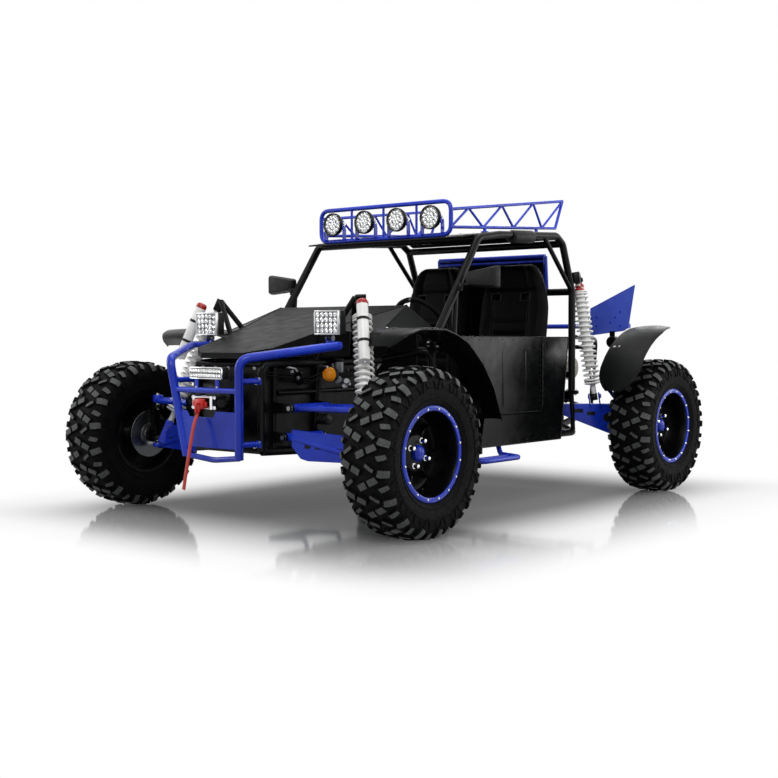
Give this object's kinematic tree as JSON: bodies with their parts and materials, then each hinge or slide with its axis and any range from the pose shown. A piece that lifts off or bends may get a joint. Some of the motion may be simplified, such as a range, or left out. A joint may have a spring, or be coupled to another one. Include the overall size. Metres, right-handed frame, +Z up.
{
  "type": "off road go kart",
  "caption": "Two-seat off-road go kart: tube frame with roll cage, long-travel coil-over suspension, knobbly tyres, half doors, roof light rack, lamp bumper and winch.",
  "frame": {"origin": "On the ground, at the middle of the object's footprint between the two axles", "axes": "+Z up, the nose points to -Y, the tail to +Y, +X is the driver's left"},
  "size_m": [1.97, 2.8525, 1.5529],
  "materials": {
    "blue_paint": "satin blue powder coat",
    "black_paint": "gloss black powder coat",
    "black_panel": "gloss black body panels",
    "tyre_rubber": "matt black tyre rubber",
    "white_paint": "white powder coat",
    "chrome": "polished shock shafts",
    "lamp": "lamp shell with clear lens and bright reflector",
    "leather": "black grained vinyl",
    "alloy": "cast and brushed alloy",
    "red_webbing": "red woven webbing"
  },
  "bodies": {
    "chassis": {"chassis_frame": "black_paint", "roll_cage": "black_paint", "roof_panel": "black_panel", "hood": "black_panel", "dashboard": "black_panel", "body_tub": "black_panel", "seat_left": "leather", "seat_right": "leather", "front_bumper": "blue_paint", "winch": "black_paint", "light_rack": "blue_paint", "engine": "alloy", "front_fender_left": "black_panel", "front_fender_right": "black_panel", "rear_plates": "blue_paint", "pull_strap": "red_webbing"},
    "lower_arm_left": {"lower_arm_left": "blue_paint"},
    "upper_arm_left": {"upper_arm_left": "blue_paint"},
    "ball_joint_left": {"ball_joint_left": "alloy"},
    "knuckle_left": {"knuckle_left": "black_paint"},
    "wheel_front_left": {"tyre_front_left": "tyre_rubber", "rim_front_left": "black_paint"},
    "shock_body_front_left": {"shock_body_front_left": "white_paint", "spring_front_left": "white_paint"},
    "shock_rod_front_left": {"shock_rod_front_left": "chrome"},
    "trailing_arm_left": {"trailing_arm_left": "blue_paint"},
    "wheel_rear_left": {"tyre_rear_left": "tyre_rubber", "rim_rear_left": "black_paint"},
    "shock_body_rear_left": {"shock_body_rear_left": "white_paint", "spring_rear_left": "white_paint"},
    "shock_rod_rear_left": {"shock_rod_rear_left": "chrome"},
    "lower_arm_right": {"lower_arm_right": "blue_paint"},
    "upper_arm_right": {"upper_arm_right": "blue_paint"},
    "ball_joint_right": {"ball_joint_right": "alloy"},
    "knuckle_right": {"knuckle_right": "black_paint"},
    "wheel_front_right": {"tyre_front_right": "tyre_rubber", "rim_front_right": "black_paint"},
    "shock_body_front_right": {"shock_body_front_right": "white_paint", "spring_front_right": "white_paint"},
    "shock_rod_front_right": {"shock_rod_front_right": "chrome"},
    "trailing_arm_right": {"trailing_arm_right": "blue_paint"},
    "wheel_rear_right": {"tyre_rear_right": "tyre_rubber", "rim_rear_right": "black_paint"},
    "shock_body_rear_right": {"shock_body_rear_right": "white_paint", "spring_rear_right": "white_paint"},
    "shock_rod_rear_right": {"shock_rod_rear_right": "chrome"},
    "steering_wheel": {"steering_wheel": "leather"},
    "brake_pedal": {"brake_pedal": "alloy"},
    "throttle_pedal": {"throttle_pedal": "alloy"},
    "shift_lever": {"shift_lever": "alloy"},
    "door_left": {"door_left": "black_panel"},
    "mirror_left": {"mirror_left": "black_paint"},
    "cube_lamp_left": {"cube_lamp_left": "lamp"},
    "door_right": {"door_right": "black_panel"},
    "mirror_right": {"mirror_right": "black_paint"},
    "cube_lamp_right": {"cube_lamp_right": "lamp"},
    "roof_lamp_1": {"roof_lamp_1": "lamp"},
    "roof_lamp_2": {"roof_lamp_2": "lamp"},
    "roof_lamp_3": {"roof_lamp_3": "lamp"},
    "roof_lamp_4": {"roof_lamp_4": "lamp"}
  },
  "joints": [
    {"name": "lower_arm_left_travel", "type": "hinge", "parent": "chassis", "child": "lower_arm_left", "pos_m": [0.262, -1.05, 0.388], "axis": [0, -1, 0], "range_deg": [-8, 8], "stiffness_Nm_per_rad": 4000, "springref_deg": -3.92},
    {"name": "upper_arm_left_travel", "type": "hinge", "parent": "chassis", "child": "upper_arm_left", "pos_m": [0.3, -1.05, 0.514], "axis": [0, -1, 0], "range_deg": [-9, 9]},
    {"name": "ball_joint_left_tilt", "type": "hinge", "parent": "lower_arm_left", "child": "ball_joint_left", "pos_m": [0.695, -1.05, 0.3], "axis": [0, -1, 0], "range_deg": [-5.5, 5.5]},
    {"name": "knuckle_left_steer", "type": "hinge", "parent": "ball_joint_left", "child": "knuckle_left", "pos_m": [0.695, -1.05, 0.34], "axis": [0, 0, 1], "range_deg": [-24, 24]},
    {"name": "wheel_front_left_spin", "type": "hinge", "parent": "knuckle_left", "child": "wheel_front_left", "pos_m": [0.87, -1.05, 0.3501], "axis": [1, 0, 0], "continuous": true},
    {"name": "shock_front_left_swing", "type": "hinge", "parent": "chassis", "child": "shock_body_front_left", "pos_m": [0.45, -0.882, 0.959], "axis": [-0.7328, -0.68, -0.0246], "range_deg": [-2, 2]},
    {"name": "shock_front_left_stroke", "type": "slide", "parent": "shock_body_front_left", "child": "shock_rod_front_left", "axis": [-0.2803, 0.2687, 0.9215], "range_m": [-0.048, 0.048], "deforming": ["spring_front_left"]},
    {"name": "trailing_arm_left_travel", "type": "hinge", "parent": "chassis", "child": "trailing_arm_left", "pos_m": [0.41, 0.7, 0.44], "axis": [1, 0, 0], "range_deg": [-12, 12], "stiffness_Nm_per_rad": 3400, "springref_deg": -4.35},
    {"name": "wheel_rear_left_spin", "type": "hinge", "parent": "trailing_arm_left", "child": "wheel_rear_left", "pos_m": [0.86, 1.05, 0.3501], "axis": [1, 0, 0], "continuous": true},
    {"name": "shock_rear_left_swing", "type": "hinge", "parent": "chassis", "child": "shock_body_rear_left", "pos_m": [0.498, 0.838, 1.12], "axis": [-0.8909, -0.4271, -0.1544], "range_deg": [-1.5, 1.5]},
    {"name": "shock_rear_left_stroke", "type": "slide", "parent": "shock_body_rear_left", "child": "shock_rod_rear_left", "axis": [-0.1498, -0.0446, 0.9877], "range_m": [-0.036, 0.036], "deforming": ["spring_rear_left"]},
    {"name": "lower_arm_right_travel", "type": "hinge", "parent": "chassis", "child": "lower_arm_right", "pos_m": [-0.262, -1.05, 0.388], "axis": [0, 1, 0], "range_deg": [-8, 8], "stiffness_Nm_per_rad": 4000, "springref_deg": -3.92},
    {"name": "upper_arm_right_travel", "type": "hinge", "parent": "chassis", "child": "upper_arm_right", "pos_m": [-0.3, -1.05, 0.514], "axis": [0, 1, 0], "range_deg": [-9, 9]},
    {"name": "ball_joint_right_tilt", "type": "hinge", "parent": "lower_arm_right", "child": "ball_joint_right", "pos_m": [-0.695, -1.05, 0.3], "axis": [0, 1, 0], "range_deg": [-5.5, 5.5]},
    {"name": "knuckle_right_steer", "type": "hinge", "parent": "ball_joint_right", "child": "knuckle_right", "pos_m": [-0.695, -1.05, 0.34], "axis": [0, 0, 1], "range_deg": [-24, 24]},
    {"name": "wheel_front_right_spin", "type": "hinge", "parent": "knuckle_right", "child": "wheel_front_right", "pos_m": [-0.87, -1.05, 0.3501], "axis": [1, 0, 0], "continuous": true},
    {"name": "shock_front_right_swing", "type": "hinge", "parent": "chassis", "child": "shock_body_front_right", "pos_m": [-0.45, -0.882, 0.959], "axis": [-0.7328, 0.68, 0.0246], "range_deg": [-2, 2]},
    {"name": "shock_front_right_stroke", "type": "slide", "parent": "shock_body_front_right", "child": "shock_rod_front_right", "axis": [0.2803, 0.2687, 0.9215], "range_m": [-0.048, 0.048], "deforming": ["spring_front_right"]},
    {"name": "trailing_arm_right_travel", "type": "hinge", "parent": "chassis", "child": "trailing_arm_right", "pos_m": [-0.41, 0.7, 0.44], "axis": [1, 0, 0], "range_deg": [-12, 12], "stiffness_Nm_per_rad": 3400, "springref_deg": -4.35},
    {"name": "wheel_rear_right_spin", "type": "hinge", "parent": "trailing_arm_right", "child": "wheel_rear_right", "pos_m": [-0.86, 1.05, 0.3501], "axis": [1, 0, 0], "continuous": true},
    {"name": "shock_rear_right_swing", "type": "hinge", "parent": "chassis", "child": "shock_body_rear_right", "pos_m": [-0.498, 0.838, 1.12], "axis": [-0.8909, 0.4271, 0.1544], "range_deg": [-1.5, 1.5]},
    {"name": "shock_rear_right_stroke", "type": "slide", "parent": "shock_body_rear_right", "child": "shock_rod_rear_right", "axis": [0.1498, -0.0446, 0.9877], "range_m": [-0.036, 0.036], "deforming": ["spring_rear_right"]},
    {"name": "steering_wheel_turn", "type": "hinge", "parent": "chassis", "child": "steering_wheel", "pos_m": [0.27, -0.235, 0.867], "axis": [0, 0.8725, 0.4886], "range_deg": [-270, 270]},
    {"name": "brake_pedal_press", "type": "hinge", "parent": "chassis", "child": "brake_pedal", "pos_m": [0.29, -0.435, 0.64], "axis": [-1, 0, 0], "range_deg": [0, 15], "stiffness_Nm_per_rad": 20, "springref_deg": -8.59},
    {"name": "throttle_pedal_press", "type": "hinge", "parent": "chassis", "child": "throttle_pedal", "pos_m": [0.17, -0.435, 0.64], "axis": [-1, 0, 0], "range_deg": [0, 20], "stiffness_Nm_per_rad": 8, "springref_deg": -8.59},
    {"name": "shift_lever_throw", "type": "hinge", "parent": "chassis", "child": "shift_lever", "pos_m": [0, 0.15, 0.385], "axis": [1, 0, 0], "range_deg": [-20, 20]},
    {"name": "door_left_open", "type": "hinge", "parent": "chassis", "child": "door_left", "pos_m": [0.55275, 0.409, 0.63], "axis": [0, 0, 1], "range_deg": [0, 75]},
    {"name": "mirror_left_fold", "type": "hinge", "parent": "chassis", "child": "mirror_left", "pos_m": [0.546, -0.2815, 1.058], "axis": [0, 0, 1], "range_deg": [-20, 20]},
    {"name": "cube_lamp_left_tilt", "type": "hinge", "parent": "chassis", "child": "cube_lamp_left", "pos_m": [0.376, -1.002, 0.812], "axis": [1, 0, 0], "range_deg": [-15, 15]},
    {"name": "door_right_open", "type": "hinge", "parent": "chassis", "child": "door_right", "pos_m": [-0.55275, 0.409, 0.63], "axis": [0, 0, -1], "range_deg": [0, 75]},
    {"name": "mirror_right_fold", "type": "hinge", "parent": "chassis", "child": "mirror_right", "pos_m": [-0.546, -0.2815, 1.058], "axis": [0, 0, 1], "range_deg": [-20, 20]},
    {"name": "cube_lamp_right_tilt", "type": "hinge", "parent": "chassis", "child": "cube_lamp_right", "pos_m": [-0.376, -1.002, 0.812], "axis": [1, 0, 0], "range_deg": [-15, 15]},
    {"name": "roof_lamp_1_tilt", "type": "hinge", "parent": "chassis", "child": "roof_lamp_1", "pos_m": [-0.312, -0.202, 1.39], "axis": [1, 0, 0], "range_deg": [-15, 15]},
    {"name": "roof_lamp_2_tilt", "type": "hinge", "parent": "chassis", "child": "roof_lamp_2", "pos_m": [-0.104, -0.202, 1.39], "axis": [1, 0, 0], "range_deg": [-15, 15]},
    {"name": "roof_lamp_3_tilt", "type": "hinge", "parent": "chassis", "child": "roof_lamp_3", "pos_m": [0.104, -0.202, 1.39], "axis": [1, 0, 0], "range_deg": [-15, 15]},
    {"name": "roof_lamp_4_tilt", "type": "hinge", "parent": "chassis", "child": "roof_lamp_4", "pos_m": [0.312, -0.202, 1.39], "axis": [1, 0, 0], "range_deg": [-15, 15]}
  ],
  "couplings": [
    {"joint": "upper_arm_left_travel", "follows": "lower_arm_left_travel", "ratio": 1.0962},
    {"joint": "ball_joint_left_tilt", "follows": "lower_arm_left_travel", "ratio": -0.61886},
    {"joint": "knuckle_left_steer", "follows": "steering_wheel_turn", "ratio": 0.088889},
    {"joint": "shock_front_left_swing", "follows": "lower_arm_left_travel", "ratio": 0.21642},
    {"joint": "shock_front_left_stroke", "follows": "lower_arm_left_travel", "m_per_rad": 0.33328},
    {"joint": "shock_rear_left_swing", "follows": "trailing_arm_left_travel", "ratio": 0.09273},
    {"joint": "shock_rear_left_stroke", "follows": "trailing_arm_left_travel", "m_per_rad": 0.16664},
    {"joint": "upper_arm_right_travel", "follows": "lower_arm_right_travel", "ratio": 1.0962},
    {"joint": "ball_joint_right_tilt", "follows": "lower_arm_right_travel", "ratio": -0.61886},
    {"joint": "knuckle_right_steer", "follows": "steering_wheel_turn", "ratio": 0.088889},
    {"joint": "shock_front_right_swing", "follows": "lower_arm_right_travel", "ratio": 0.21642},
    {"joint": "shock_front_right_stroke", "follows": "lower_arm_right_travel", "m_per_rad": 0.33328},
    {"joint": "shock_rear_right_swing", "follows": "trailing_arm_right_travel", "ratio": 0.09273},
    {"joint": "shock_rear_right_stroke", "follows": "trailing_arm_right_travel", "m_per_rad": 0.16664}
  ]
}
